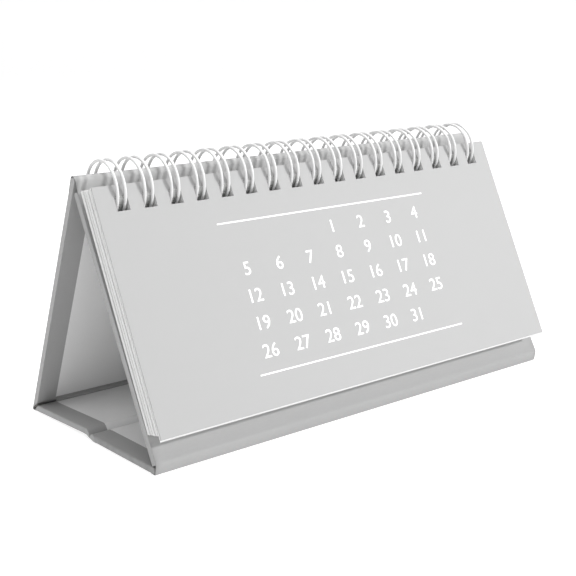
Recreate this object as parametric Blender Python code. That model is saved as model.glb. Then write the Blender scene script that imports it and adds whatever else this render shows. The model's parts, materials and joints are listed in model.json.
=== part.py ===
# Standing desk calendar: a folding tent of covered boards, a twin-loop wire and loose leaves.
# X runs along the binding and Y from front to back. The origin is on the floor, midway between the
# lower edge of the cover leaf and the rear foot of the tent.
import math

import bmesh
import bpy
import numpy as np

MM = 0.001

# Tent: outer triangle of the stand, seen along X
WIDTH = 151.6 * MM
DEPTH = 71.0 * MM
TENT_Y = 1.75 * MM
APEX_Y = TENT_Y - 0.55 * MM
APEX_Z = 75.1 * MM
CREASE_Y = TENT_Y - 0.6 * MM
CREASE_GAP = 3.2 * MM
CREASE_UNDERCUT = 1.6 * MM

# Front panel: it stands on the base with a square end, a little ahead of the base's front edge
FRONT_SLOPE = math.radians(64.1)
FRONT_OVERHANG = 2.2 * MM

# Layers of a panel, from its outer face inwards
PAPER = 0.3 * MM
BOARD = 1.2 * MM
BOARD_SETBACK = 0.7 * MM
GLUE_GAP = 0.1 * MM
TURN_IN = 6.0 * MM
LINING_GAP = 0.3 * MM
MITRE_GAP = 0.2 * MM
FOOT_GAP = 0.3 * MM
RIDGE_GAP = 1.0 * MM
RIDGE_FOLD = math.radians(19)
PANEL = 2 * PAPER + 2 * GLUE_GAP + BOARD

# Twin-loop wire
LOOPS = 17
PITCH = 8.4667 * MM
WIRE_DIAMETER = 0.95 * MM
RING_RADIUS = 8.4 * MM
RING_Y = TENT_Y - 4.05 * MM
RING_Z = 70.6 * MM
TWIN_SPACING = 2.4 * MM
SPINE_ANGLE = math.radians(-68)
TIP_ANGLE = math.radians(270)
ARC_STEPS = 16
BEND_STEPS = 3

# Leaves, hung on the front of the loops
INNER_LEAVES = 6
LEAF_SLOPE = math.radians(65.5)
LEAF_THICKNESS = 0.22 * MM
LEAF_PITCH = 0.86 * MM
COVER_OFFSET = 6.77 * MM
COVER_TOP = 0.6 * MM
LEAF_TOP = 1.14 * MM
LEAF_RISE = 0.22 * MM
COVER_HEIGHT = 68.9 * MM
LEAF_HEIGHT = 66.8 * MM
COVER_WIDTH = 151.4 * MM
LEAF_WIDTH = 151.0 * MM

# Punched holes: width, and how far they reach above and below the place where the loops pass through
HOLE_WIDTH = 4.0 * MM
HOLE_ABOVE = 1.2 * MM
HOLE_BELOW = 2.8 * MM
BOARD_HOLE_MARGIN = 1.6 * MM
LINING_BELOW_HOLES = 2.5 * MM

# Colours as linear RGB, with roughness
COVER_GREY = (0.42, 0.42, 0.42), 0.62
LINING_GREY = (0.62, 0.62, 0.62), 0.7
CORE_GREY = (0.36, 0.34, 0.31), 0.9
COVER_LEAF_GREY = (0.66, 0.66, 0.66), 0.55
LEAF_WHITE = (0.85, 0.85, 0.84), 0.6
WIRE_WHITE = (0.88, 0.88, 0.88), 0.3


def clear_scene():
    for item in list(bpy.data.objects):
        bpy.data.objects.remove(item, do_unlink=True)


def material(name, look):
    colour, roughness = look
    made = bpy.data.materials.new(name)
    made.use_nodes = True
    shader = made.node_tree.nodes["Principled BSDF"]
    shader.inputs["Base Color"].default_value = (*colour, 1.0)
    shader.inputs["Roughness"].default_value = roughness
    shader.inputs["Metallic"].default_value = 0.0
    return made


class Slab:
    """A flat panel's own axes: s runs along it from its origin and d runs through it, in the YZ plane."""

    def __init__(self, origin, along, through):
        self.origin = np.array(origin, dtype=float)
        self.along = np.array(along, dtype=float) / np.linalg.norm(along)
        self.through = np.array(through, dtype=float) / np.linalg.norm(through)

    def place(self, x, s, d):
        y, z = self.origin + self.along * s + self.through * d
        return x, y, z

    def measure(self, point):
        offset = np.array(point) - self.origin
        return offset @ self.along, offset @ self.through


def slabs():
    front_foot = np.array((TENT_Y - DEPTH / 2, 0.0))
    rear_foot = np.array((TENT_Y + DEPTH / 2, 0.0))
    up_front = math.cos(FRONT_SLOPE), math.sin(FRONT_SLOPE)
    up_back = np.array((APEX_Y, APEX_Z)) - rear_foot
    return {
        "front": Slab(front_foot - (FRONT_OVERHANG, 0.0), up_front, (up_front[1], -up_front[0])),
        "back": Slab(rear_foot, up_back, (-up_back[1], up_back[0])),
        "base_front": Slab(front_foot, (1, 0), (0, 1)),
        "base_rear": Slab(rear_foot, (-1, 0), (0, 1)),
    }


def leaf_slab():
    down = (-math.cos(LEAF_SLOPE), -math.sin(LEAF_SLOPE))
    return Slab((RING_Y, RING_Z), down, (down[1], -down[0]))


def inner_corner(slab, other):
    # Where the inner faces of two panels meet
    here = slab.origin + slab.through * PANEL
    there = other.origin + other.through * PANEL
    steps = np.linalg.solve(np.column_stack((slab.along, -other.along)), there - here)
    return here + slab.along * steps[0]


def mitre_foot(slab, other):
    # Foot line of a panel that meets its neighbour along the line halving their angle
    slope = 1 / math.tan(math.acos(slab.along @ other.along) / 2)
    return lambda d: slope * d + MITRE_GAP


def square_foot(start):
    # Foot line of a panel with a square end
    return lambda d: start


def standing_foot(slab):
    # Foot line of a panel whose square end stands on the base with its inner edge
    return square_foot((PANEL + FOOT_GAP - slab.through[1] * PANEL) / slab.along[1])


def pivot(name, point, parent=None):
    # An empty on a hinge line carries the pieces that turn about it
    empty = bpy.data.objects.new(name, None)
    bpy.context.collection.objects.link(empty)
    empty.parent = parent
    place = np.array((0.0, point[0], point[1]))
    base = np.array(parent["place"]) if parent else np.zeros(3)
    empty["place"] = place.tolist()
    empty.location = place - base
    return empty


def add_object(name, data, carrier, look):
    made = bpy.data.objects.new(name, data)
    bpy.context.collection.objects.link(made)
    made.parent = carrier
    if look:
        data.materials.append(look)
    return made


def prism(mesh, outline, slab, start, end, offset):
    # An outline of (x, d) points is carried along s; start and end give s for a depth d
    near = [mesh.verts.new(np.subtract(slab.place(x, start(d), d), offset)) for x, d in outline]
    far = [mesh.verts.new(np.subtract(slab.place(x, end(d), d), offset)) for x, d in outline]
    mesh.faces.new(near)
    mesh.faces.new(far)
    count = len(outline)
    for i in range(count):
        j = (i + 1) % count
        mesh.faces.new((near[i], near[j], far[j], far[i]))


def solid(name, outlines, slab, start, end, carrier, look):
    mesh = bmesh.new()
    for outline in outlines:
        prism(mesh, outline, slab, start, end, carrier["place"])
    bmesh.ops.recalc_face_normals(mesh, faces=mesh.faces)
    data = bpy.data.meshes.new(name)
    mesh.to_mesh(data)
    mesh.free()
    return add_object(name, data, carrier, look)


def rectangle(half_width, low, high, middle=0.0):
    left = middle - half_width
    right = middle + half_width
    return [(left, low), (right, low), (right, high), (left, high)]


def loop_middles():
    return (np.arange(LOOPS) - (LOOPS - 1) / 2) * PITCH


def punch(target, slab, top, bottom, low, high, carrier):
    # Cuts the row of binding holes, one block a loop
    margin = PANEL
    blocks = [rectangle(HOLE_WIDTH / 2, low - margin, high + margin, x) for x in loop_middles()]
    name = target.name + "_punch"
    cutter = solid(name, blocks, slab, lambda d: top, lambda d: bottom, carrier, None)
    cutter.hide_render = True
    cutter.display_type = "WIRE"
    cut = target.modifiers.new("binding_holes", "BOOLEAN")
    cut.operation = "DIFFERENCE"
    cut.object = cutter


def wrapped_profile():
    # Cover paper round a board: the outer face, both edges, and a turned-in strip at each end
    half = WIDTH / 2
    inner_half = half - PAPER
    strip = half - TURN_IN
    inside = PANEL - PAPER
    return [
        (-half, 0), (half, 0), (half, PANEL), (strip, PANEL), (strip, inside), (inner_half, inside),
        (inner_half, PAPER), (-inner_half, PAPER), (-inner_half, inside), (-strip, inside),
        (-strip, PANEL), (-half, PANEL),
    ]


def panel(name, slab, foot, corner, end, carrier, looks, holes=None, lining_end=None, undercut=0.0):
    # Cover paper, board and lining of one panel, cut at its foot and cut back under its far end
    cover_look, board_look, lining_look = looks
    half_board = WIDTH / 2 - PAPER - GLUE_GAP
    board_low = PAPER + GLUE_GAP
    half_lining = WIDTH / 2 - TURN_IN - LINING_GAP
    corner_s = slab.measure(corner)[0] + MITRE_GAP

    def top(d):
        return end - undercut * (1 - d / PANEL)

    def board_top(d):
        return top(d) - BOARD_SETBACK

    def lining_foot(d):
        return max(foot(d), corner_s)

    def lining_top(d):
        return end if lining_end is None else lining_end

    wrap = solid(name + "_cover_paper", [wrapped_profile()], slab, foot, top, carrier, cover_look)
    core_outline = rectangle(half_board, board_low, board_low + BOARD)
    core = solid(name + "_board", [core_outline], slab, foot, board_top, carrier, board_look)
    lining_outline = rectangle(half_lining, PANEL - PAPER, PANEL)
    solid(name + "_lining_paper", [lining_outline], slab, lining_foot, lining_top, carrier, lining_look)
    if holes:
        for piece in (wrap, core):
            punch(piece, slab, holes[0], holes[1], 0.0, PANEL, carrier)


def turned(point, centre, angle):
    y, z = np.subtract(point, centre)
    across = y * math.cos(angle) - z * math.sin(angle)
    up = y * math.sin(angle) + z * math.cos(angle)
    return np.add(centre, (across, up))


def board_holes(slab, hinge, fold):
    # The loops cross a panel where their circle passes through its thickness, with the stand open and folded
    crossings = []
    for angle in (0.0, fold):
        ring_s, ring_d = slab.measure(turned((RING_Y, RING_Z), hinge, angle))
        depths = np.array((0.0, PANEL)) - ring_d
        crossings.append(ring_s - np.sqrt(RING_RADIUS ** 2 - depths ** 2))
    return np.min(crossings) - BOARD_HOLE_MARGIN, np.max(crossings) + BOARD_HOLE_MARGIN


def ring_point(x, angle):
    return x, RING_Y + RING_RADIUS * math.cos(angle), RING_Z + RING_RADIUS * math.sin(angle)


def half_bend(middle, radius, angle, turn):
    # A round bend on the ring's own cylinder, running past the angle by its radius
    points = []
    for i in range(1, BEND_STEPS + 1):
        swing = math.pi * i / (BEND_STEPS + 1)
        past = turn * TWIN_SPACING / 2 * math.sin(swing) / RING_RADIUS
        points.append(ring_point(middle - radius * math.cos(swing), angle + past))
    return points


def wire_path():
    # Each finger runs round the ring to its tip and back, and the spine links it to the next
    rise = np.linspace(SPINE_ANGLE, TIP_ANGLE, ARC_STEPS + 1)
    half = TWIN_SPACING / 2
    middles = loop_middles()
    points = []
    for number, x in enumerate(middles):
        points += [ring_point(x - half, angle) for angle in rise]
        points += half_bend(x, half, TIP_ANGLE, 1)
        points += [ring_point(x + half, angle) for angle in rise[::-1]]
        if number < LOOPS - 1:
            points += half_bend(x + PITCH / 2, PITCH / 2 - half, SPINE_ANGLE, -1)
    return np.array(points)


def least_gap(points):
    # Clear distance between stretches of the wire that aren't neighbours along it
    lengths = np.linalg.norm(np.diff(points, axis=0), axis=1)
    along = np.concatenate(((0.0,), np.cumsum(lengths)))
    stations = np.arange(0.0, along[-1], WIRE_DIAMETER / 2)
    dense = np.column_stack([np.interp(stations, along, points[:, k]) for k in range(3)])
    apart = 3 * WIRE_DIAMETER
    gap = math.inf
    for station, point in zip(stations, dense):
        far = np.abs(stations - station) > apart
        gap = min(gap, np.linalg.norm(dense[far] - point, axis=1).min())
    return gap - WIRE_DIAMETER


def binding_wire(carrier, look):
    points = wire_path()
    print("least gap of the wire to itself, mm:", round(least_gap(points) / MM, 2))
    curve = bpy.data.curves.new("binding_wire", "CURVE")
    curve.dimensions = "3D"
    curve.bevel_depth = WIRE_DIAMETER / 2
    curve.bevel_resolution = 1
    curve.use_fill_caps = True
    line = curve.splines.new("POLY")
    line.points.add(len(points) - 1)
    for knot, point in zip(line.points, points - np.array(carrier["place"])):
        knot.co = (*point, 1.0)
    add_object("binding_wire", curve, carrier, look)


def leaf(name, number, width, top, height, carrier, look):
    slab = leaf_slab()
    outer = COVER_OFFSET - number * LEAF_PITCH
    outline = rectangle(width / 2, outer - LEAF_THICKNESS, outer)
    made = solid(name, [outline], slab, lambda d: top, lambda d: top + height, carrier, look)
    crossing = math.sqrt(RING_RADIUS ** 2 - (outer - LEAF_THICKNESS / 2) ** 2)
    hole = crossing - HOLE_ABOVE, crossing + HOLE_BELOW
    punch(made, slab, hole[0], hole[1], outer - LEAF_THICKNESS, outer, carrier)


def tent():
    looks = (
        material("cover_paper", COVER_GREY),
        material("grey_board", CORE_GREY),
        material("lining_paper", LINING_GREY),
    )
    slab = slabs()
    inner_apex = inner_corner(slab["front"], slab["back"])
    front_end = slab["front"].measure(inner_apex)[0] - RIDGE_GAP
    back_end = slab["back"].measure((APEX_Y, APEX_Z))[0]
    corner = {
        "front": inner_corner(slab["front"], slab["base_front"]),
        "back": inner_corner(slab["back"], slab["base_rear"]),
    }
    front_pivot = pivot("front_panel", inner_apex)
    back_pivot = pivot("back_panel", inner_apex, front_pivot)
    base_front_pivot = pivot("base_front", corner["front"], front_pivot)
    base_rear_pivot = pivot("base_rear", corner["back"], back_pivot)

    back_foot = mitre_foot(slab["back"], slab["base_rear"])
    for name, foot, end, carrier, fold in (
        ("front", standing_foot(slab["front"]), front_end, front_pivot, 0.0),
        ("back", back_foot, back_end, back_pivot, RIDGE_FOLD),
    ):
        holes = board_holes(slab[name], inner_apex, fold)
        below = holes[0] - LINING_BELOW_HOLES
        panel(name, slab[name], foot, corner[name], end, carrier, looks, holes, below)

    crease = CREASE_Y - CREASE_GAP / 2, CREASE_Y + CREASE_GAP / 2
    base_front_end = slab["base_front"].measure((crease[0], 0.0))[0]
    base_rear_end = slab["base_rear"].measure((crease[1], 0.0))[0]
    for name, foot, meets, end, carrier in (
        ("base_front", square_foot(MITRE_GAP), corner["front"], base_front_end, base_front_pivot),
        ("base_rear", back_foot, corner["back"], base_rear_end, base_rear_pivot),
    ):
        panel(name, slab[name], foot, meets, end, carrier, looks, undercut=CREASE_UNDERCUT)
    return front_pivot


def leaves(front_pivot):
    # Every leaf turns on the ring's centre line, and carries the leaves in front of it
    cover_look = material("cover_leaf", COVER_LEAF_GREY)
    leaf_look = material("leaf", LEAF_WHITE)
    carrier = front_pivot
    for number in range(INNER_LEAVES, 0, -1):
        carrier = pivot("leaf_%d_turn" % number, (RING_Y, RING_Z), carrier)
        top = LEAF_TOP - number * LEAF_RISE
        leaf("leaf_%d" % number, number, LEAF_WIDTH, top, LEAF_HEIGHT, carrier, leaf_look)
    cover_pivot = pivot("cover_leaf_turn", (RING_Y, RING_Z), carrier)
    leaf("cover_leaf", 0, COVER_WIDTH, COVER_TOP, COVER_HEIGHT, cover_pivot, cover_look)


def main():
    clear_scene()
    front_pivot = tent()
    binding_wire(front_pivot, material("binding_wire", WIRE_WHITE))
    leaves(front_pivot)


main()
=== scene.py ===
import json
import math

import bmesh
import bpy
import numpy as np
from mathutils import Matrix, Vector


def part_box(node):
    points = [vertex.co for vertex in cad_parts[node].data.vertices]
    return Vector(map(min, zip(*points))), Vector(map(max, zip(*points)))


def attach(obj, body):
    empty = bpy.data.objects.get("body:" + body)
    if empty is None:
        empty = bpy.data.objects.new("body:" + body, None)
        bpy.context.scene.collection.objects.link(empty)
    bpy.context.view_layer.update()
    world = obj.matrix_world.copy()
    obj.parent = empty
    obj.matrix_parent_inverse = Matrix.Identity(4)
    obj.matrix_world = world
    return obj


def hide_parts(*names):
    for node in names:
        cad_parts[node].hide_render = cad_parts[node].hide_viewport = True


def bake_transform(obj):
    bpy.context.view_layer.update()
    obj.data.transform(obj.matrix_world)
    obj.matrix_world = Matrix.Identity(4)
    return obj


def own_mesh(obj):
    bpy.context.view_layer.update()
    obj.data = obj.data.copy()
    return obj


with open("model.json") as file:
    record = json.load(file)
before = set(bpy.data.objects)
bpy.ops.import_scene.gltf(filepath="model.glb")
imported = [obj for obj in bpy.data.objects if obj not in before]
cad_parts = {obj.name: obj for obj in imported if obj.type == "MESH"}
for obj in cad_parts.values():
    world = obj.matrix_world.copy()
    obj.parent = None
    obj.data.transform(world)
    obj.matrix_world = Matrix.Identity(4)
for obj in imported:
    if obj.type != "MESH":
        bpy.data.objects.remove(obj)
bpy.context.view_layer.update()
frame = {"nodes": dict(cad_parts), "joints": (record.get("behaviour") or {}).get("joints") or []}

mm = 0.001
tiny = 1e-6
stand = {
    "thickness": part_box("base_front_cover_paper")[1].z,  # board with its papers
    "turnIn": 6.0 * mm,  # strip of cover paper that shows inside, at each end
}
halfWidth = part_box("back_cover_paper")[1].x


def pivotOf(name):  # y and z of a joint's line
    joint = next(j for j in frame["joints"] if j["name"] == name)
    return np.array(joint["pos_m"][1:])


ringCentre = pivotOf("cover_leaf_turn")
innerApex = pivotOf("stand_fold")
frontCorner = pivotOf("base_front_fold")
rearCorner = pivotOf("base_rear_fold")


# Each panel has its own axes in the YZ plane: s runs along it from the foot, d runs inwards through it
def axesOf(origin, along, inward):
    return {"origin": np.array(origin), "along": np.array(along), "inward": np.array(inward)}


def place(axes, x, s, d):
    x, s, d = np.broadcast_arrays(x, s, d)
    flat = axes["origin"] + s[..., None] * axes["along"] + d[..., None] * axes["inward"]
    return np.concatenate([x[..., None], flat], axis=-1)


def measure(axes, points):
    offset = points[..., 1:] - axes["origin"]
    return offset @ axes["along"], offset @ axes["inward"]


def risingAxes(corner, side):  # the outer face starts where it would meet the floor
    along = (innerApex - corner) / np.linalg.norm(innerApex - corner)
    inward = side * np.array((along[1], -along[0]))
    outer = corner - inward * stand["thickness"]
    return axesOf(outer - along * outer[1] / along[1], along, inward)


frontAxes = risingAxes(frontCorner, 1)
backAxes = risingAxes(rearCorner, -1)
panelAxes = {
    "front": frontAxes,
    "back": backAxes,
    "base_front": axesOf((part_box("base_front_cover_paper")[0].y, 0.0), (1.0, 0.0), (0.0, 1.0)),
    "base_rear": axesOf((backAxes["origin"][0], 0.0), (-1.0, 0.0), (0.0, 1.0)),
}
panelBody = {
    "front": "front_panel",
    "back": "back_panel",
    "base_front": "base_front",
    "base_rear": "base_rear",
}
baseEnds = {
    "base_front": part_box("base_front_cover_paper")[1].y,
    "base_rear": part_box("base_rear_cover_paper")[0].y,
}
baseLift = {"base_front": 0.0, "base_rear": 1.1 * mm}  # the crease holds the rear half's end off the floor


def tilted(axes, centre, angle):  # turned about a hinge line, far end inwards
    along = math.cos(angle) * axes["along"] + math.sin(angle) * axes["inward"]
    inward = math.cos(angle) * axes["inward"] - math.sin(angle) * axes["along"]
    offset = axes["origin"] - centre
    origin = centre + (offset @ axes["along"]) * along + (offset @ axes["inward"]) * inward
    return axesOf(origin, along, inward)


rearTilt = baseLift["base_rear"] / (rearCorner[0] - baseEnds["base_rear"])
laidAxes = dict(panelAxes, base_rear=tilted(panelAxes["base_rear"], rearCorner, rearTilt))


def meshPoints(mesh):
    flat = np.empty(len(mesh.vertices) * 3, np.float32)
    mesh.vertices.foreach_get("co", flat)
    return flat.reshape(-1, 3).astype(float)


def nodePoints(node):
    return meshPoints(frame["nodes"][node].data)


def linesOf(values):  # the separate levels that a node's corners lie on
    return np.unique(np.round(values, 5))


def smoothStep(t):
    t = np.clip(t, 0.0, 1.0)
    return t * t * (3 - 2 * t)


# Meshes
sharpFrom = math.radians(35)  # edges that turn by more than this stay sharp
bevelFrom = math.radians(40)


def meshObject(name, points, faces, smooth=True):
    mesh = bpy.data.meshes.new(name)
    mesh.from_pydata(points.reshape(-1, 3), [], faces.tolist() if hasattr(faces, "tolist") else faces)
    work = bmesh.new()
    work.from_mesh(mesh)
    loose = [v for v in work.verts if not v.link_faces]
    bmesh.ops.delete(work, geom=loose, context="VERTS")
    bmesh.ops.recalc_face_normals(work, faces=work.faces)
    work.to_mesh(mesh)
    work.free()
    if smooth:
        mesh.shade_smooth()
        mesh.set_sharp_from_angle(angle=sharpFrom)
    piece = bpy.data.objects.new(name, mesh)
    bpy.context.scene.collection.objects.link(piece)
    return piece


def slabMesh(name, outer, inner, cut=None):
    # Two point grids of one size are the two faces of a sheet. A cell that is cut is a hole, and every
    # edge between a kept cell and a missing one gets a wall from face to face.
    nx, ns = outer.shape[:2]
    count = nx * ns
    index = np.arange(count).reshape(nx, ns)
    kept = np.ones((nx - 1, ns - 1), bool) if cut is None else ~cut
    i, j = np.nonzero(kept)
    cells = np.stack([index[i, j], index[i + 1, j], index[i + 1, j + 1], index[i, j + 1]], 1)
    around = np.pad(kept, 1)
    a, b = np.nonzero(around[:-1, 1:-1] != around[1:, 1:-1])
    sideWalls = np.stack([index[a, b], index[a, b + 1], index[a, b + 1] + count, index[a, b] + count], 1)
    a, b = np.nonzero(around[1:-1, :-1] != around[1:-1, 1:])
    endWalls = np.stack([index[a, b], index[a + 1, b], index[a + 1, b] + count, index[a, b] + count], 1)
    points = np.concatenate([outer.reshape(-1, 3), inner.reshape(-1, 3)])
    faces = np.concatenate([cells, cells[:, ::-1] + count, sideWalls, endWalls])
    return meshObject(name, points, faces)


def softEdges(piece, width, steps):
    bevel = piece.modifiers.new("softEdges", "BEVEL")
    bevel.width = width
    bevel.segments = steps
    bevel.limit_method = "ANGLE"
    bevel.angle_limit = bevelFrom
    bevel.harden_normals = True


def faceValues(piece, name):
    flat = np.empty(len(piece.data.polygons) * 3, np.float32)
    piece.data.polygons.foreach_get(name, flat)
    return flat.reshape(-1, 3)


def setAttribute(piece, name, values):
    layer = piece.data.attributes.new(name, "FLOAT", "POINT")
    layer.data.foreach_set("value", np.asarray(values, np.float32))


def finishPiece(piece, body, slot, materials, *nodes):
    for look in materials:
        piece.data.materials.append(look)
    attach(piece, body)
    if nodes:
        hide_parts(*nodes)


# Shader groups and materials
def socketed(group, inputs, outputs):
    for name, kind, value in inputs:
        socket = group.interface.new_socket(name, in_out="INPUT", socket_type=kind)
        if value is not None:
            socket.default_value = value
    for name, kind in outputs:
        group.interface.new_socket(name, in_out="OUTPUT", socket_type=kind)


def mathNode(tree, operation, a, b=None, clamp=False):
    node = tree.nodes.new("ShaderNodeMath")
    node.operation = operation
    node.use_clamp = clamp
    for socket, value in zip(node.inputs, (a, b)):
        if value is None:
            continue
        if isinstance(value, (int, float)):
            socket.default_value = value
        else:
            tree.links.new(value, socket)
    return node.outputs[0]


def noiseNode(tree, vector, scale, detail=3.0, roughness=0.55):
    node = tree.nodes.new("ShaderNodeTexNoise")
    node.inputs["Detail"].default_value = detail
    node.inputs["Roughness"].default_value = roughness
    tree.links.new(vector, node.inputs["Vector"])
    if isinstance(scale, (int, float)):
        node.inputs["Scale"].default_value = scale
    else:
        tree.links.new(scale, node.inputs["Scale"])
    return node.outputs["Fac"]


reliefDepth = 0.05 * mm


def reliefNode(tree, height, strength):
    node = tree.nodes.new("ShaderNodeBump")
    node.inputs["Strength"].default_value = strength
    node.inputs["Distance"].default_value = reliefDepth
    tree.links.new(height, node.inputs["Height"])
    return node.outputs["Normal"]


pulp = {
    "stretch": (0.35, 1.0, 1.0),
    "fibreDetail": 4.0,
    "fibreRoughness": 0.65,
    "cloudScale": 70.0,
    "cloudDetail": 2.0,
}


def makePaperGrain():
    # Fibres: fine noise drawn out one way, over a slow cloud as of uneven pulp
    group = bpy.data.node_groups.new("paperGrain", "ShaderNodeTree")
    socketed(
        group,
        [("Vector", "NodeSocketVector", None), ("Fibre Scale", "NodeSocketFloat", 2600.0),
         ("Fibre Tone", "NodeSocketFloat", 0.05), ("Cloud Tone", "NodeSocketFloat", 0.03)],
        [("Tone", "NodeSocketFloat"), ("Height", "NodeSocketFloat")],
    )
    start = group.nodes.new("NodeGroupInput")
    end = group.nodes.new("NodeGroupOutput")
    stretch = group.nodes.new("ShaderNodeMapping")
    stretch.inputs["Scale"].default_value = pulp["stretch"]
    group.links.new(start.outputs["Vector"], stretch.inputs["Vector"])
    fibres = noiseNode(group, stretch.outputs["Vector"], start.outputs["Fibre Scale"],
                       pulp["fibreDetail"], pulp["fibreRoughness"])
    cloud = noiseNode(group, start.outputs["Vector"], pulp["cloudScale"], pulp["cloudDetail"])
    tone = 1.0
    for noise, amount in ((fibres, "Fibre Tone"), (cloud, "Cloud Tone")):
        swing = mathNode(group, "SUBTRACT", noise, 0.5)
        tone = mathNode(group, "ADD", tone, mathNode(group, "MULTIPLY", swing, start.outputs[amount]))
    group.links.new(tone, end.inputs["Tone"])
    group.links.new(fibres, end.inputs["Height"])
    return group


# Soil and painted shade at the ends of the cover paper: noise patches that darken where the edge mask is
endSoilAndShade = {"patchScale": 420.0, "patchDetail": 3.0, "falloff": 4.0, "gain": 1.4}


def makeEdgeSoil():
    # Soiled and shaded ends: the piece's own edge mask to the power of the falloff, broken up by noise. This
    # is partly soil and partly painted shade on the end faces
    group = bpy.data.node_groups.new("endSoilAndShadeGroup", "ShaderNodeTree")
    socketed(
        group,
        [("Vector", "NodeSocketVector", None), ("Edge", "NodeSocketFloat", 0.0),
         ("Amount", "NodeSocketFloat", 0.5)],
        [("SoilAndShade", "NodeSocketFloat")],
    )
    start = group.nodes.new("NodeGroupInput")
    end = group.nodes.new("NodeGroupOutput")
    patches = noiseNode(group, start.outputs["Vector"], endSoilAndShade["patchScale"], endSoilAndShade["patchDetail"])
    sharp = mathNode(group, "POWER", start.outputs["Edge"], endSoilAndShade["falloff"])
    broken = mathNode(group, "MULTIPLY", sharp, mathNode(group, "MULTIPLY", patches, endSoilAndShade["gain"]))
    soilAndShade = mathNode(group, "MULTIPLY", broken, start.outputs["Amount"], clamp=True)
    group.links.new(soilAndShade, end.inputs["SoilAndShade"])
    return group


paperGrain = makePaperGrain()
endSoilAndShadeGroup = makeEdgeSoil()


def paperLook(name, colour, roughness, fibreScale, fibreTone, cloudTone, bump, soilAndShade=0.0):
    made = bpy.data.materials.new(name)
    made.use_nodes = True
    tree = made.node_tree
    shader = tree.nodes["Principled BSDF"]
    shader.inputs["Specular IOR Level"].default_value = paperShine
    coords = tree.nodes.new("ShaderNodeTexCoord").outputs["Object"]
    grain = tree.nodes.new("ShaderNodeGroup")
    grain.node_tree = paperGrain
    grain.inputs["Fibre Scale"].default_value = fibreScale
    grain.inputs["Fibre Tone"].default_value = fibreTone
    grain.inputs["Cloud Tone"].default_value = cloudTone
    tree.links.new(coords, grain.inputs["Vector"])
    toned = tree.nodes.new("ShaderNodeVectorMath")
    toned.operation = "SCALE"
    toned.inputs[0].default_value = colour
    tree.links.new(grain.outputs["Tone"], toned.inputs["Scale"])
    surface = toned.outputs["Vector"]
    # Soil and painted shade: the paper is mixed towards a dark grey where the edge mask marks the panel ends
    if soilAndShade:
        mask = tree.nodes.new("ShaderNodeAttribute")
        mask.attribute_name = "edge"
        soiledAndShaded = tree.nodes.new("ShaderNodeGroup")
        soiledAndShaded.node_tree = endSoilAndShadeGroup
        soiledAndShaded.inputs["Amount"].default_value = soilAndShade
        tree.links.new(coords, soiledAndShaded.inputs["Vector"])
        tree.links.new(mask.outputs["Fac"], soiledAndShaded.inputs["Edge"])
        mix = tree.nodes.new("ShaderNodeMix")
        mix.data_type = "RGBA"
        mix.inputs["B"].default_value = (*soilAndShadeColour, 1.0)
        tree.links.new(soiledAndShaded.outputs["SoilAndShade"], mix.inputs["Factor"])
        tree.links.new(surface, mix.inputs["A"])
        surface = mix.outputs["Result"]
    tree.links.new(surface, shader.inputs["Base Color"])
    gloss = mathNode(tree, "MULTIPLY", mathNode(tree, "SUBTRACT", grain.outputs["Height"], 0.5), glossSpread)
    tree.links.new(mathNode(tree, "ADD", gloss, roughness, clamp=True), shader.inputs["Roughness"])
    tree.links.new(reliefNode(tree, grain.outputs["Height"], bump), shader.inputs["Normal"])
    return made


paperShine = 0.3
# The dark grey that the ends are mixed towards, for soil and painted shade
soilAndShadeColour = (0.15, 0.15, 0.15)
glossSpread = 0.15  # how far the grain moves the roughness
card = {"roughness": 0.55, "fibreScale": 3200.0, "fibreTone": 0.03, "cloudTone": 0.012, "bump": 0.06}
ink = {"roughness": 0.5, "fibreScale": 3200.0, "bump": 0.04}
papers = {
    # The cover paper's last entry sets how strongly its ends are darkened, for soil and painted shade
    "coverPaper": {"colour": (0.34, 0.34, 0.34), "roughness": 0.62, "fibreScale": 2200.0, "fibreTone": 0.09,
                   "cloudTone": 0.05, "bump": 0.25, "soilAndShade": 0.5},
    "liningPaper": {"colour": (0.74, 0.74, 0.74), "roughness": 0.7, "fibreScale": 3000.0, "fibreTone": 0.04,
                    "cloudTone": 0.03, "bump": 0.1},
    "greyBoard": {"colour": (0.17, 0.165, 0.16), "roughness": 0.9, "fibreScale": 1500.0, "fibreTone": 0.5,
                  "cloudTone": 0.2, "bump": 0.6},
    "coverCard": dict(card, colour=(0.337, 0.337, 0.337)),
    "backCard": dict(card, colour=(0.68, 0.68, 0.68)),
    "leafCard": dict(card, colour=(0.63, 0.63, 0.627), roughness=0.6),
    "whiteInk": dict(ink, colour=(0.90, 0.90, 0.90), fibreTone=0.02, cloudTone=0.01),
    "greyInk": dict(ink, colour=(0.16, 0.16, 0.17), fibreTone=0.05, cloudTone=0.02),
}
looks = {paperName: paperLook(paperName, **paper) for paperName, paper in papers.items()}

wireCoat = {
    "coat": 0.15,
    "coatRoughness": 0.2,
    "tones": ((0.58, 0.58, 0.58, 1.0), (0.66, 0.66, 0.66, 1.0)),
    "peelScale": 900.0,
    "peelDetail": 2.0,
    "speckScale": 260.0,
    "speckDetail": 3.0,
    "roughness": 0.22,
    "roughnessSpread": 0.2,
    "relief": 0.1,
}


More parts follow.
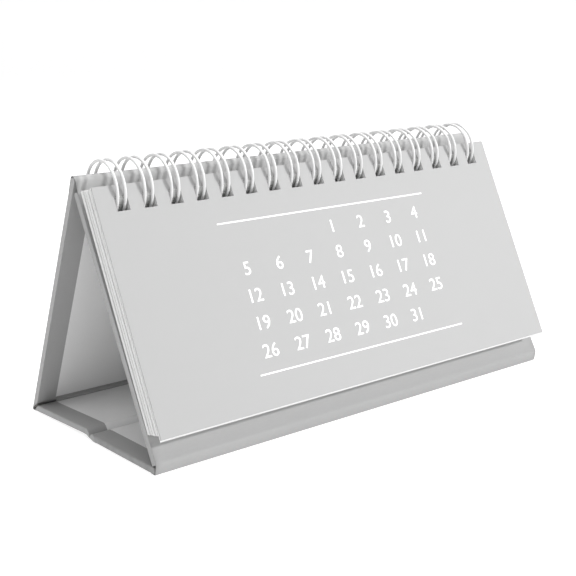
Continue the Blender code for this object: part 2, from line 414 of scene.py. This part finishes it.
def coatedWireLook():
    # White nylon coat with a slight orange peel
    made = bpy.data.materials.new("coatedWire")
    made.use_nodes = True
    tree = made.node_tree
    shader = tree.nodes["Principled BSDF"]
    shader.inputs["Coat Weight"].default_value = wireCoat["coat"]
    shader.inputs["Coat Roughness"].default_value = wireCoat["coatRoughness"]
    coords = tree.nodes.new("ShaderNodeTexCoord").outputs["Object"]
    peel = noiseNode(tree, coords, wireCoat["peelScale"], wireCoat["peelDetail"])
    speck = noiseNode(tree, coords, wireCoat["speckScale"], wireCoat["speckDetail"])
    ramp = tree.nodes.new("ShaderNodeValToRGB")
    for element, tone in zip(ramp.color_ramp.elements, wireCoat["tones"]):
        element.color = tone
    tree.links.new(speck, ramp.inputs["Fac"])
    tree.links.new(ramp.outputs["Color"], shader.inputs["Base Color"])
    spread = mathNode(tree, "MULTIPLY", peel, wireCoat["roughnessSpread"])
    tree.links.new(mathNode(tree, "ADD", spread, wireCoat["roughness"]), shader.inputs["Roughness"])
    tree.links.new(reliefNode(tree, peel, wireCoat["relief"]), shader.inputs["Normal"])
    return made


looks["coatedWire"] = coatedWireLook()
print("materials made")


# Covered panels
panels = {
    "ridgeRound": 0.92 * mm,  # rounding of the upper edges
    "ridgeSteps": 6,
    "edgeRound": 0.42 * mm,
    "edgeSteps": 3,
    "edgeBand": 1.3 * mm,  # width of the band that the edge mask falls off over
    "soilAndShade": {"front": 0.75, "back": 0.3, "base_front": 1.0, "base_rear": 0.75},  # how far the ends are darkened, by panel: soil and painted shade on the end faces
    "overBoard": 0.06 * mm,  # the paper reaches this far past the board inside it
    "footCut": {  # cut back at the foot, on the outer and the inner face
        "front": (0.0, 0.0),
        "back": (0.8 * mm, 0.25 * mm),
        "base_front": (0.3 * mm, 0.3 * mm),
        "base_rear": (0.8 * mm, 0.0),
    },
    "endCut": {"back": 0.7 * mm},  # more at the ends, where the fold gapes
    "faceDepth": 0.2 * mm,  # a corner this near to a face belongs to it
    "uprightRows": 12,
    "baseRows": 8,
    "baseColumns": np.linspace(-0.8, 0.8, 9),  # as shares of half the width
}


def panelLines(name):
    # Levels of s on the outer and the inner face, with the depth of each, foot first. At the top of an
    # upright panel the faces sink by radius (1 - cos) while s goes on by radius sin, over a quarter turn.
    axes = panelAxes[name]
    thick = stand["thickness"]
    points = nodePoints(name + "_cover_paper")
    s, d = measure(axes, points)
    outerS = s[d < panels["faceDepth"]]
    innerS = s[d > thick - panels["faceDepth"]]
    over = panels["overBoard"]
    cutOuter, cutInner = panels["footCut"][name]
    footOuter = outerS.min() - over + cutOuter
    footInner = innerS.min() - over + cutInner
    topOuter = outerS.max() + over
    topInner = innerS.max() + over
    band = panels["edgeBand"]
    inside = [v for v in linesOf(outerS) if footOuter + band < v < topOuter - band]
    holes = (inside[0] + over, inside[-1] - over) if inside else None
    if name in ("front", "back"):
        turn = np.linspace(0.0, math.pi / 2, panels["ridgeSteps"])
        radius = panels["ridgeRound"]
        sink = radius * (1 - np.cos(turn))
        middle = np.linspace(footInner + 2 * band, holes[0] - band, panels["uprightRows"])
        shared = np.concatenate([middle, holes])
        outerTop = topOuter - radius + radius * np.sin(turn)
        innerTop = topInner - radius + radius * np.sin(turn)
        outerS = np.concatenate([[footOuter, footOuter + band], shared, outerTop])
        innerS = np.concatenate([[footInner, footInner + 0.5 * band], shared, innerTop])
        outerD = np.concatenate([np.zeros(len(outerS) - len(sink)), sink])
        innerD = thick - outerD
    else:
        middle = np.linspace(footInner + 2 * band, topOuter - band, panels["baseRows"])
        outerS = np.concatenate([[footOuter, footOuter + band], middle, [topOuter]])
        innerS = np.concatenate([[footInner, footInner + 0.5 * band], middle, [topInner]])
        outerD = np.zeros(len(outerS))
        innerD = np.full(len(outerS), thick)
    return outerS, outerD, innerS, innerD, holes


def holeEdges(node):  # x of the punched holes' sides, in order
    x = linesOf(nodePoints(node)[:, 0])
    return x[np.abs(x) < halfWidth - stand["turnIn"]]


def makePanel(name):
    # Columns of x by levels of s, once on the outer face and once on the inner one, with the holes cut out
    axes = laidAxes[name]
    outerS, outerD, innerS, innerD, holes = panelLines(name)
    band = panels["edgeBand"]
    ends = np.array((halfWidth - band, halfWidth))
    if holes:
        sides = holeEdges("back_board")
        shrink = np.where(np.arange(len(sides)) % 2 == 0, 1, -1) * panels["overBoard"]
        x = np.concatenate([-ends[::-1], sides + shrink, ends])
        cut = np.zeros((len(x) - 1, len(outerS) - 1), bool)
        row = np.searchsorted(outerS, holes[0] - tiny)
        cut[len(ends):-len(ends):2, row] = True
    else:
        x = np.concatenate([-ends[::-1], panels["baseColumns"] * halfWidth, ends])
        cut = None
    outer = place(axes, x[:, None], outerS[None, :], outerD[None, :])
    innerS = np.repeat(innerS[None, :], len(x), 0)
    innerS[np.abs(x) > halfWidth - 2 * band, 0] += panels["endCut"].get(name, 0.0)
    inner = place(axes, x[:, None], innerS, innerD[None, :])
    piece = slabMesh(name + "_wrap", outer, inner, cut)
    # The ends carry their panel's amount in the edge mask: soil and painted shade
    nearEnd = np.abs(np.abs(meshPoints(piece.data)[:, 0]) - halfWidth) < 10 * tiny
    setAttribute(piece, "edge", np.where(nearEnd, panels["soilAndShade"][name], 0.0))
    softEdges(piece, panels["edgeRound"], panels["edgeSteps"])
    finishPiece(piece, panelBody[name], "cover_paper", [looks["coverPaper"]], name + "_cover_paper")


linings = {
    "proud": 0.03 * mm,
    "below": 0.1 * mm,
    "margin": 0.15 * mm,
    # how far ahead of the fold it stops
    "short": {"front": 1.0 * mm, "back": 1.6 * mm, "base_front": 1.0 * mm, "base_rear": 1.0 * mm},
    "columns": 13,
    "rows": 7,
}


def makeLining(name):
    # A flat grid of x by s, once just above the panel's inner face and once below it
    axes = laidAxes[name]
    points = nodePoints(name + "_lining_paper")
    s = linesOf(measure(panelAxes[name], points)[0])
    half = np.abs(points[:, 0]).max() + linings["margin"]
    x = np.linspace(-half, half, linings["columns"])
    along = np.linspace(s[0] + linings["short"][name], s[-1], linings["rows"])
    thick = stand["thickness"]
    top = place(axes, x[:, None], along[None, :], np.array(thick + linings["proud"]))
    under = place(axes, x[:, None], along[None, :], np.array(thick - linings["below"]))
    piece = slabMesh(name + "_lining", under, top)
    finishPiece(piece, panelBody[name], "lining_paper", [looks["liningPaper"]], name + "_lining_paper")


def makeCore(name):  # the board of a half that doesn't lie flat: a slab between its node's own ends
    points = nodePoints(name + "_board")
    s, d = measure(panelAxes[name], points)
    low = d < d.mean()
    x = np.array((points[:, 0].min(), points[:, 0].max()))[:, None]
    outer = place(laidAxes[name], x, np.array([[s[low].min(), s[low].max()]]), d.min())
    inner = place(laidAxes[name], x, np.array([[s[~low].min(), s[~low].max()]]), d.max())
    piece = slabMesh(name + "_core", outer, inner)
    finishPiece(piece, panelBody[name], "grey_board", [looks["greyBoard"]], name + "_board")


for panelName in panelAxes:
    makePanel(panelName)
    makeLining(panelName)
makeCore("base_rear")
for panelName in ("front", "back", "base_front"):
    frame["nodes"][panelName + "_board"].data.materials.clear()
    frame["nodes"][panelName + "_board"].data.materials.append(looks["greyBoard"])
print("panels covered and lined")


# Paper hinge in the middle of the base: a valley above, and a slope below from one half to the other
crease = {
    "dip": 1.2 * mm,
    "middleLow": 0.45 * mm,  # the underside's height in the middle
    "inside": 2.0 * mm,  # hidden in the half's end
    "overlap": 0.5 * mm,
    "proud": 0.05 * mm,
    "clear": 0.03 * mm,  # off the floor
    "inset": 0.1 * mm,  # at the ends
    "keep": 0.25,
    "steps": 13,
    "columns": 15,
    "upward": 0.3,  # a face whose normal rises more than this is part of the top
}
creaseY = sum(baseEnds.values()) / 2


def makeCrease(name):
    # y runs from inside the half's end to the middle. The top is the half's own height less a dip that
    # grows with the fourth power of the way; the underside goes smoothly over to its height in the middle.
    end = baseEnds[name]
    side = math.copysign(1.0, end - creaseY)
    way = np.linspace(0.0, 1.0, crease["steps"])
    y = end + side * crease["overlap"]
    y = np.append(end + side * crease["inside"], y + (creaseY - y) * way)
    lift = baseLift[name] * (1 - smoothStep(way))
    thick = stand["thickness"]
    top = np.append(thick / 2 + lift[0], thick + crease["proud"] + lift - crease["dip"] * way ** 4)
    low = crease["clear"] + lift + crease["middleLow"] * smoothStep(way)
    low = np.append(low[0], low)
    liningHalf = halfWidth - stand["turnIn"]
    half = halfWidth - crease["inset"]
    x = np.concatenate([[-half], np.linspace(-liningHalf, liningHalf, crease["columns"]), [half]])
    axes = axesOf((0.0, 0.0), (1.0, 0.0), (0.0, 1.0))
    under = place(axes, x[:, None], y[None, :], low[None, :])
    upper = place(axes, x[:, None], y[None, :], top[None, :])
    piece = slabMesh(name + "_crease", under, upper)
    piece.data.materials.append(looks["coverPaper"])
    centres = faceValues(piece, "center")
    lined = (np.abs(centres[:, 0]) < liningHalf) & (faceValues(piece, "normal")[:, 2] > crease["upward"])
    piece.data.polygons.foreach_set("material_index", lined.astype(np.int32))
    setAttribute(piece, "edge", np.zeros(len(piece.data.vertices)))
    finishPiece(piece, name, "cover_paper", [looks["liningPaper"]])
    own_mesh(piece)


for baseName in baseEnds:
    makeCrease(baseName)
print("crease made")


# Cover paper round the two foot folds and over the ridge, and a strip of it in the rear inner corner, where
# its darker tone is painted shade
folds = {
    "thickness": 0.15 * mm,
    "inset": 0.06 * mm,
    "rounds": 8,  # points on each rounded corner
    "columns": 33,
    # heights at which the paper leaves the upper body and reaches the lower one
    "frontFoot": (3.0 * mm, 0.6 * mm),
    "rearFoot": (2.6 * mm, 0.6 * mm),
    "corner": (2.8 * mm, 2.2 * mm),
}


def roundedPath(corners, radii):
    # Straight stretches through the corners, each corner replaced by a curve that starts and ends its
    # radius away from it: (1-t)^2 start + 2t(1-t) corner + t^2 end
    corners = np.array(corners)
    t = np.linspace(0.0, 1.0, folds["rounds"])[:, None]
    stretches = [corners[:1]]
    for before, corner, after, radius in zip(corners, corners[1:], corners[2:], radii):
        start = corner + (before - corner) * radius / np.linalg.norm(before - corner)
        end = corner + (after - corner) * radius / np.linalg.norm(after - corner)
        stretches.append((1 - t) ** 2 * start + 2 * t * (1 - t) * corner + t ** 2 * end)
    return np.concatenate(stretches + [corners[-1:]])


def onFace(axes, s, out):  # a point on a panel's outer face, moved out of it
    return axes["origin"] + s * axes["along"] - out * axes["inward"]


def makeFold(name, path, side, half=halfWidth - folds["inset"]):
    # The path is carried along X; the sheet's thickness lies on the side that faces the boards
    run = np.gradient(path, axis=0)
    run /= np.linalg.norm(run, axis=1)[:, None]
    under = path - side * np.stack([run[:, 1], -run[:, 0]], 1) * folds["thickness"]
    x = np.linspace(-half, half, folds["columns"])
    grids = [
        np.concatenate([np.repeat(x[:, None, None], len(line), 1), np.repeat(line[None], len(x), 0)], 2)
        for line in (path, under)
    ]
    piece = slabMesh(name, *grids)
    # The ends take the full edge mask, for soil and painted shade as on the panels
    setAttribute(piece, "edge", np.where(np.abs(meshPoints(piece.data)[:, 0]) > x[-2] + tiny, 1.0, 0.0))
    piece.data.materials.append(looks["coverPaper"])
    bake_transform(piece)


frontFootS = measure(frontAxes, nodePoints("front_cover_paper"))[0].min()
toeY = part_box("base_front_cover_paper")[0].y
heelY = backAxes["origin"][0]
frontPath = roundedPath(
    [
        onFace(frontAxes, frontFootS + 6.0 * mm, 0.02 * mm),
        onFace(frontAxes, frontFootS + 2.5 * mm, 0.1 * mm),
        onFace(frontAxes, frontFootS + 0.1 * mm, 0.22 * mm),
        (toeY - 0.3 * mm, 0.0),
        (toeY + 1.8 * mm, 0.06 * mm),
    ],
    [1.0 * mm, 0.5 * mm, 0.45 * mm],
)
rearPath = roundedPath(
    [
        onFace(backAxes, 6.0 * mm, 0.02 * mm),
        onFace(backAxes, 3.0 * mm, 0.1 * mm),
        (heelY + 0.12 * mm, 0.0),
        (heelY - 2.2 * mm, 0.06 * mm),
    ],
    [1.0 * mm, 0.7 * mm],
)
makeFold("front_foot_paper", frontPath, 1)
makeFold("rear_foot_paper", rearPath, -1)

# Strip in the inner corner, between the linings of the back and of the rear half. It fills the groove there,
# and its darker cover paper is painted shade along the corner.
backInnerS = measure(backAxes, nodePoints("back_lining_paper"))[0].min()
rearAxes = laidAxes["base_rear"]
rearInnerS = measure(panelAxes["base_rear"], nodePoints("base_rear_lining_paper"))[0].min()
innerFace = -stand["thickness"]
cornerPath = roundedPath(
    [
        onFace(backAxes, backInnerS + 1.9 * mm, innerFace - 0.02 * mm),
        onFace(backAxes, backInnerS + 0.5 * mm, innerFace - 0.03 * mm),
        onFace(rearAxes, rearInnerS + 0.5 * mm, innerFace - 0.03 * mm),
        onFace(rearAxes, rearInnerS + 1.2 * mm, innerFace - 0.02 * mm),
    ],
    [0.3 * mm, 0.3 * mm],
)
makeFold("corner_shade_paper", cornerPath, 1,
         np.abs(nodePoints("back_lining_paper")[:, 0]).max())

# Ridge: up the front, over the step to the higher back panel, and down behind it
frontTopS = measure(frontAxes, nodePoints("front_cover_paper"))[0].max()
backTopS = measure(backAxes, nodePoints("back_cover_paper"))[0].max()
ridgePath = roundedPath(
    [
        onFace(frontAxes, frontTopS - 5.0 * mm, 0.03 * mm),
        onFace(frontAxes, frontTopS - 0.3 * mm, 0.12 * mm),
        onFace(backAxes, backTopS - 1.0 * mm, innerFace - 1.15 * mm),
        onFace(backAxes, backTopS + 0.1 * mm, innerFace - 0.05 * mm),
        onFace(backAxes, backTopS + 0.3 * mm, -0.5 * mm),
        onFace(backAxes, backTopS - 0.3 * mm, 0.15 * mm),
        onFace(backAxes, backTopS - 5.0 * mm, 0.03 * mm),
    ],
    [0.8 * mm, 0.8 * mm, 0.75 * mm, 0.45 * mm, 0.4 * mm],
)
makeFold("ridge_paper", ridgePath, 1)
print("folds made")


# Leaves: thin card with a slight bow, punched along the top
def leafAxes(node):
    # s runs down the leaf and d from its front face to its back, from the middle of its corners
    points = nodePoints(node)[:, 1:]
    middle = points.mean(0)
    along = np.linalg.svd(points - middle, full_matrices=False)[2][0]
    along = along * -np.sign(along[1])
    return axesOf(middle, along, (-along[1], along[0]))


leafSheets = {
    "bow": 0.03 * mm,
    "curl": 0.03 * mm,
    "sheet": 0.38 * mm,  # one sheet's thickness
    "pair": 0.43 * mm,  # from one sheet of a pair to the other
    "stray": 0.12 * mm,  # how far a sheet's side edges lie off the leaf's
    "holeLift": 0.45 * mm,  # the loops pass higher through the front sheet
    "left": 0.0,  # the front sheet's step back at the left
    "low": 0.0,  # and at the bottom
    "wide": 0.3 * mm,  # past the leaf's own side edges
}
coverSheets = {
    "sheet": 0.2 * mm,
    "pair": 0.22 * mm,
    "stray": 0.0,
    "holeLift": 0.1 * mm,
    "left": 0.15 * mm,
    "low": 0.4 * mm,  # it leaves a lighter rim below
    "wide": 0.0,
}


leafRows = 26


def leafBow(x, t, seed):
    # A low bow across the leaf, one less the square of x, that grows down the leaf, and lower corners that
    # lift with the square of x and the cube of the way down. The seed gives every leaf its own share.
    bow = leafSheets["bow"] * math.sin(1.7 * seed + 0.4) * (1 - (x / halfWidth) ** 2) * t
    curl = leafSheets["curl"] * math.cos(2.3 * seed) * (x / halfWidth) ** 2 * t ** 3
    return bow + curl


def makeLeaf(node, seed, sheetLooks, slot, kind):
    # Two grids of x by s, bent by the bow, make a sheet. There are two sheets: the second lies in front of
    # the leaf's own place.
    axes = leafAxes(node)
    points = nodePoints(node)
    s, d = measure(axes, points)
    levels = linesOf(s)
    top, holeTop, holeBottom, bottom = levels[0], levels[1], levels[-2], levels[-1]
    x = linesOf(points[:, 0])
    for number, look in enumerate(sheetLooks):
        shift = np.zeros(len(x))
        shift[[0, -1]] = kind["stray"] * math.sin(2.1 * seed + 3.7 * number)
        shift[0] += number * kind["left"] - kind["wide"]
        shift[-1] += kind["wide"]
        end = bottom - number * kind["low"]
        rows = np.concatenate([
            [top, holeTop - number * kind["holeLift"], holeBottom],
            np.linspace(holeBottom, end, leafRows)[1:],
        ])
        cut = np.zeros((len(x) - 1, len(rows) - 1), bool)
        cut[1:-1:2, 1] = True
        t = np.clip((rows - holeBottom) / (bottom - holeBottom), 0.0, 1.0)
        bow = leafBow(x[:, None], t[None, :], seed)
        near = d.max() - kind["sheet"] - number * kind["pair"]
        across = (x + shift)[:, None]
        front = place(axes, across, rows[None, :], near - bow)
        back = place(axes, across, rows[None, :], near + kind["sheet"] - bow)
        piece = slabMesh("%s_sheet_%d" % (node, number + 1), front, back, cut)
        finishPiece(piece, node, slot, [look], *([node] if number == 0 else []))
    return {"axes": axes, "front": near, "levels": (holeBottom, bottom), "seed": seed}


# Dates: plain figures in seven columns, between two rules
inkDepth = {"figure": 0.008, "rule": 0.05 * mm}  # a figure's is a share of its size
figureSteps = 4  # on each curve of a figure
ruleGap = 0.25  # between the figures and a rule, in rows
glyphs = {}


def glyphMesh(text):
    if text not in glyphs:
        curve = bpy.data.curves.new("figure", "FONT")
        curve.body = text
        curve.align_x = "CENTER"
        curve.align_y = "CENTER"
        curve.extrude = inkDepth["figure"]
        curve.resolution_u = figureSteps
        holder = bpy.data.objects.new("figure", curve)
        bpy.context.scene.collection.objects.link(holder)
        mesh = holder.evaluated_get(bpy.context.evaluated_depsgraph_get()).to_mesh()
        glyphs[text] = (meshPoints(mesh), [list(p.vertices) for p in mesh.polygons])
        bpy.data.objects.remove(holder)
    return glyphs[text]


def ruleMesh(width, height, depth, columns=25):
    # A flat bar in columns, so that it follows the leaf's bow
    ring = np.array([(-0.5, -0.5), (0.5, -0.5), (0.5, 0.5), (-0.5, 0.5)]) * (height, depth)
    x = np.repeat(np.linspace(-0.5, 0.5, columns) * width, 4)
    start = 4 * np.arange(columns - 1)[:, None]
    here = start + np.arange(4)
    beside = start + np.roll(np.arange(4), -1)
    faces = np.stack([here, beside, beside + 4, here + 4], -1).reshape(-1, 4).tolist()
    last = 4 * (columns - 1)
    ends = [[0, 3, 2, 1], [last, last + 1, last + 2, last + 3]]
    return np.column_stack([x, np.tile(ring, (columns, 1))]), faces + ends


def makeDates(name, leaf, dates, body, look, slot):
    low, high = leaf["levels"]
    points, faces, count = [], [], 0

    def add(shape, x, s, scale=1.0):
        nonlocal count
        local, polygons = shape
        local = local * scale
        across = local[:, 0] + x
        down = s - local[:, 1]
        t = np.clip((down - low) / (high - low), 0.0, 1.0)
        depth = leaf["front"] - leafBow(across, t, leaf["seed"]) - local[:, 2]
        points.append(place(leaf["axes"], across, down, depth))
        faces.extend([[v + count for v in polygon] for polygon in polygons])
        count += len(local)

    middle = low + (high - low) * dates["middle"]
    rows = math.ceil((dates["first"] + dates["days"]) / 7)
    for day in range(1, dates["days"] + 1):
        row, column = divmod(dates["first"] + day - 1, 7)
        x = (column - 3) * dates["stepX"]
        s = middle + (row - (rows - 1) / 2) * dates["stepS"]
        add(glyphMesh(str(day)), x, s, dates["size"])
    rule = ruleMesh(7 * dates["stepX"], dates["rule"], inkDepth["rule"])
    reach = (rows / 2 + ruleGap) * dates["stepS"]
    add(rule, 0.0, middle - reach)
    add(rule, 0.0, middle + reach)
    piece = meshObject(name, np.concatenate(points), faces, smooth=False)
    finishPiece(piece, body, slot, [look])


coverDates = {"first": 3, "days": 31, "size": 5.6 * mm, "stepX": 11.5 * mm, "stepS": 8.0 * mm,
              "rule": 0.4 * mm, "middle": 0.48}
# Column of the first day, and the number of days
leafMonths = ((4, 31), (0, 28), (0, 31), (3, 30), (5, 31), (1, 30))
leafDates = {"size": 6.0 * mm, "stepX": 19.0 * mm, "stepS": 8.6 * mm, "rule": 0.25 * mm, "middle": 0.5}

cover = makeLeaf("cover_leaf", 0, (looks["backCard"], looks["coverCard"]), "cover_leaf", coverSheets)
makeDates("cover_dates", cover, coverDates, "cover_leaf", looks["whiteInk"], "cover_leaf")
for number, (first, days) in enumerate(leafMonths, 1):
    leafName = "leaf_%d" % number
    leaf = makeLeaf(leafName, number, (looks["leafCard"], looks["leafCard"]), "leaf", leafSheets)
    month = dict(leafDates, first=first, days=days)
    makeDates(leafName + "_dates", leaf, month, leafName, looks["greyInk"], "leaf")
print("leaves made")


# Twin-loop wire
wire = {
    "loops": 17,
    "pitch": 8.4667 * mm,
    "radius": 0.45 * mm,
    "ring": 8.4 * mm,
    "twin": 2.4 * mm,
    "spine": math.radians(-68),
    "tip": math.radians(270),
    "arcSteps": 64,
    "bendSteps": 14,
    "capSteps": 4,
    "sides": 14,
    "shift": 0.15 * mm,  # the loops lie to one side of their holes
    "lean": 0.12 * mm,  # and lean over a little at the top
}


def wireLine():
    # x and ring angle along the wire: up one finger, round its tip, down again, and over to the next
    rise = np.linspace(wire["spine"], wire["tip"], wire["arcSteps"] + 1)
    half = wire["twin"] / 2
    swing = np.linspace(0.0, math.pi, wire["bendSteps"] + 2)[1:-1]
    past = half * np.sin(swing) / wire["ring"]
    link = wire["pitch"] / 2 - half
    finger = np.concatenate([
        np.stack([np.full_like(rise, -half), rise], 1),
        np.stack([-half * np.cos(swing), wire["tip"] + past], 1),
        np.stack([np.full_like(rise, half), rise[::-1]], 1),
        np.stack([wire["pitch"] / 2 - link * np.cos(swing), wire["spine"] - past], 1),
    ])
    middles = (np.arange(wire["loops"]) - (wire["loops"] - 1) / 2) * wire["pitch"]
    line = np.repeat(finger[None], wire["loops"], 0)
    line[..., 0] += middles[:, None]
    return line.reshape(-1, 2)[:-len(swing)]


def makeWire():
    # The line lies on the ring's cylinder, so a round section stands on the radius and on what is square
    # to it. The ends close with a quarter turn: the size falls with the cosine, the way out with the sine.
    x, angle = wireLine().T
    x = x + wire["shift"] + wire["lean"] * np.maximum(np.sin(angle), 0.0)
    radial = np.stack([np.zeros_like(angle), np.cos(angle), np.sin(angle)], 1)
    centre = np.stack([x, np.full_like(x, ringCentre[0]), np.full_like(x, ringCentre[1])], 1)
    path = centre + wire["ring"] * radial
    tangent = np.gradient(path, axis=0)
    tangent /= np.linalg.norm(tangent, axis=1)[:, None]
    quarter = np.linspace(0.0, math.pi / 2, wire["capSteps"] + 1)[1:]
    size = wire["radius"] * np.concatenate([np.cos(quarter[::-1]), np.ones(len(path)), np.cos(quarter)])
    slip = wire["radius"] * np.sin(quarter)[:, None]
    path = np.concatenate([path[:1] - slip[::-1] * tangent[:1], path, path[-1:] + slip * tangent[-1:]])
    grow = len(quarter)
    tangent = np.concatenate([np.repeat(tangent[:1], grow, 0), tangent, np.repeat(tangent[-1:], grow, 0)])
    radial = np.concatenate([np.repeat(radial[:1], grow, 0), radial, np.repeat(radial[-1:], grow, 0)])
    aside = np.cross(tangent, radial)
    turn = np.linspace(0.0, 2 * math.pi, wire["sides"], endpoint=False)
    section = np.cos(turn)[None, :, None] * radial[:, None] + np.sin(turn)[None, :, None] * aside[:, None]
    points = path[:, None] + np.maximum(size, tiny)[:, None, None] * section
    n, k = points.shape[:2]
    index = np.arange(n * k).reshape(n, k)
    across = np.roll(index, -1, axis=1)
    faces = np.stack([index[:-1], across[:-1], across[1:], index[1:]], -1).reshape(-1, 4)
    caps = [index[0, ::-1].tolist(), index[-1].tolist()]
    piece = meshObject("coated_wire", points, faces.tolist() + caps)
    finishPiece(piece, "front_panel", "binding_wire", [looks["coatedWire"]], "binding_wire")


makeWire()
print("wire bent")


# Stage, light and camera
floor = {
    "rim": 2.6,
    "edge": 5.0,
    "rise": 0.45,
    "drop": 0.1 * mm,
    "colour": (0.48, 0.48, 0.48),
    "glow": 0.74,
    "roughness": 0.9,
    "specular": 0.1,
    "flatRings": (0.001, 0.5),
    "risingRings": 16,
    "sides": 64,
}


def makeFloor():
    # Flat out to the rim, then it rises with the square of the way out from there
    rising = np.linspace(floor["rim"], floor["edge"], floor["risingRings"])
    out = np.concatenate([floor["flatRings"], rising])[:, None]
    turn = np.linspace(0.0, 2 * math.pi, floor["sides"], endpoint=False)[None, :]
    height = floor["rise"] * np.maximum(out - floor["rim"], 0.0) ** 2 - floor["drop"] + 0 * turn
    points = np.stack([out * np.cos(turn), out * np.sin(turn), height], -1)
    index = np.arange(height.size).reshape(height.shape)
    nextTo = np.roll(index, -1, axis=1)
    faces = np.stack([index[:-1], nextTo[:-1], nextTo[1:], index[1:]], -1).reshape(-1, 4)
    piece = meshObject("floor", points, faces.tolist() + [index[0].tolist()])
    look = bpy.data.materials.new("paleFloor")
    look.use_nodes = True
    shader = look.node_tree.nodes["Principled BSDF"]
    shader.inputs["Base Color"].default_value = (*floor["colour"], 1.0)
    shader.inputs["Roughness"].default_value = floor["roughness"]
    shader.inputs["Specular IOR Level"].default_value = floor["specular"]
    shader.inputs["Emission Color"].default_value = (1.0, 1.0, 1.0, 1.0)
    shader.inputs["Emission Strength"].default_value = floor["glow"]
    piece.data.materials.append(look)


def standAt(right, up, away, spot):  # three axes as columns, and the place
    return Matrix(np.column_stack([right, up, away, spot]).tolist() + [[0, 0, 0, 1]])


lightTarget = (0.0, 0.0, 0.03)
lights = {
    "key": {"spot": (1.75, -1.75, 1.05), "size": 0.2, "power": 46.0},
    "fill": {"spot": (-0.40, -0.10, 0.98), "size": 0.4, "power": 1.8},
    "top": {"spot": (0.1, 0.0, 1.0), "size": 0.6, "power": 11.0},
}


def makeLight(name, spot, size, power):
    data = bpy.data.lights.new(name, "AREA")
    data.shape = "DISK"
    data.size = size
    data.energy = power
    lamp = bpy.data.objects.new(name, data)
    bpy.context.scene.collection.objects.link(lamp)
    away = np.array(spot) - np.array(lightTarget)
    away = away / np.linalg.norm(away)
    right = np.cross((0.0, 0.0, 1.0), away)
    right /= np.linalg.norm(right)
    lamp.matrix_world = standAt(right, np.cross(away, right), away, spot)


view = {
    "place": (-0.21543, -0.26895, 0.11210),
    "azimuth": math.radians(-38.213),
    "elevation": math.radians(13.066),
    "roll": math.radians(-1.484),
    "focal": 1114.6,  # in pixels of the frame
    "frame": 576,
    "sensor": 36.0,
    "near": 0.01,
}


def makeCamera():
    az, el, roll = view["azimuth"], view["elevation"], view["roll"]
    away = np.array((math.sin(az) * math.cos(el), -math.cos(az) * math.cos(el), math.sin(el)))
    right = np.cross(-away, (0.0, 0.0, 1.0))
    right /= np.linalg.norm(right)
    up = np.cross(away, right)
    rolled = math.cos(roll) * right + math.sin(roll) * up
    up = -math.sin(roll) * right + math.cos(roll) * up
    data = bpy.data.cameras.new("camera")
    data.sensor_width = view["sensor"]
    data.sensor_fit = "HORIZONTAL"
    data.lens = data.sensor_width * view["focal"] / view["frame"]
    data.clip_start = view["near"]
    camera = bpy.data.objects.new("camera", data)
    bpy.context.scene.collection.objects.link(camera)
    camera.matrix_world = standAt(rolled, up, away, view["place"])
    bpy.context.scene.camera = camera


worldStrength = 0.2


def makeWorld():
    world = bpy.data.worlds.new("studio")
    world.use_nodes = True
    back = world.node_tree.nodes["Background"]
    back.inputs["Color"].default_value = (1.0, 1.0, 1.0, 1.0)
    back.inputs["Strength"].default_value = worldStrength
    bpy.context.scene.world = world
    bpy.context.scene.view_settings.view_transform = "Standard"


makeFloor()
for lightName, setting in lights.items():
    makeLight(lightName, **setting)
makeWorld()
makeCamera()
print("stage, lights and camera set")
